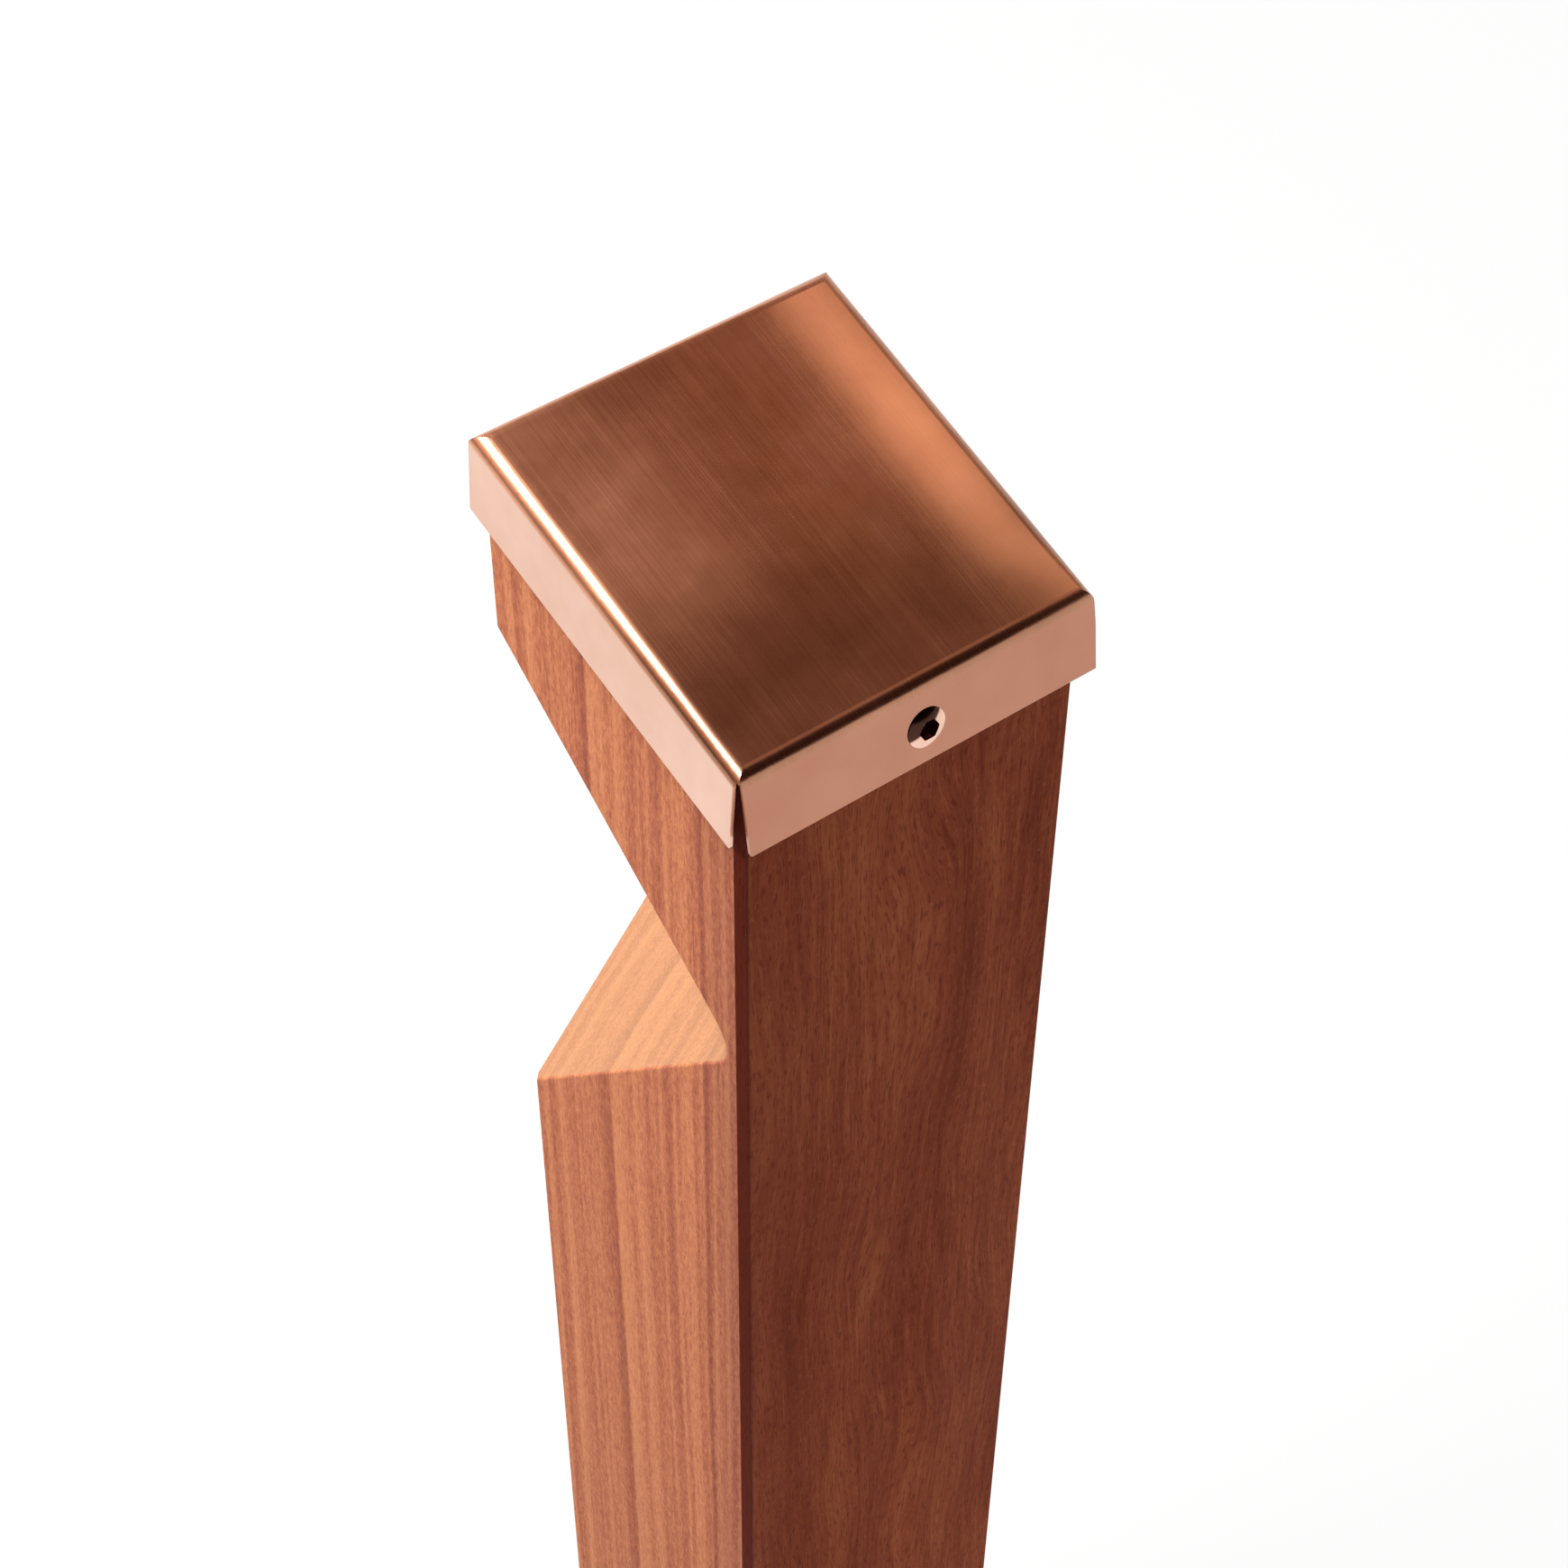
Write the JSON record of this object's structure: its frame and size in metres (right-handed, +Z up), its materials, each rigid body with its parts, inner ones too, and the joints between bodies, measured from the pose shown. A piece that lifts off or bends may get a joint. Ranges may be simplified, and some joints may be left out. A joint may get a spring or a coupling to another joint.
{
  "type": "pillar light",
  "caption": "Square hardwood garden pillar light with a diagonal notch lit from a hidden lamp under its head, a sloping folded copper cap and a steel base plate.",
  "frame": {"origin": "middle of the base plate's underside", "axes": "+Z up along the post; X and Y square to the post's faces; the notch opens at the corner between the +X and -Y faces, and the cap falls towards +Y"},
  "size_m": [0.14, 0.14, 0.6123],
  "materials": {
    "hardwood": "oiled, open grain",
    "copper": "lightly brushed copper",
    "copper_screw": "copper plated",
    "rubber": "matte",
    "lamp_alloy": "anodised",
    "opal": "opal, lit",
    "board_white": "solder mask",
    "led": "phosphor",
    "steel": "stainless",
    "tray_steel": "zinc plated",
    "cable_sheath": "satin",
    "driver_case": "fine texture",
    "terminal_plastic": "polyamide",
    "black_plastic": "moulded",
    "contact_brass": "bright"
  },
  "bodies": {
    "pillar": {"post": "hardwood", "copper_cap": "copper", "cap_underlay": "rubber", "lamp_gasket": "rubber", "lamp_grommet": "rubber", "foot_pad": "rubber", "inlet_seal": "rubber", "lamp_housing": "lamp_alloy", "lamp_diffuser": "opal", "lamp_board": "board_white", "lamp_leds": "led", "lamp_screws": "steel", "tray_screw": "steel", "driver_screws": "steel", "terminal_fixing": "steel", "base_plate": "steel", "coach_screws": "steel", "gear_tray": "tray_steel", "lamp_lead": "cable_sheath", "driver_tail": "cable_sheath", "riser_cable": "cable_sheath", "driver": "driver_case", "terminal_block": "terminal_plastic", "inlet_socket": "black_plastic", "inlet_nut": "black_plastic", "terminal_screws": "contact_brass", "inlet_pins": "contact_brass"},
    "front_screw": {"front_cap_screw": "copper_screw"},
    "back_screw": {"back_cap_screw": "copper_screw"}
  },
  "joints": [
    {"name": "front_screw_out", "type": "slide", "parent": "pillar", "child": "front_screw", "axis": [0, 0.9925, 0.1226], "range_m": [0, 0.017]},
    {"name": "back_screw_out", "type": "slide", "parent": "pillar", "child": "back_screw", "axis": [0, -0.9913, 0.1318], "range_m": [0, 0.017]}
  ]
}
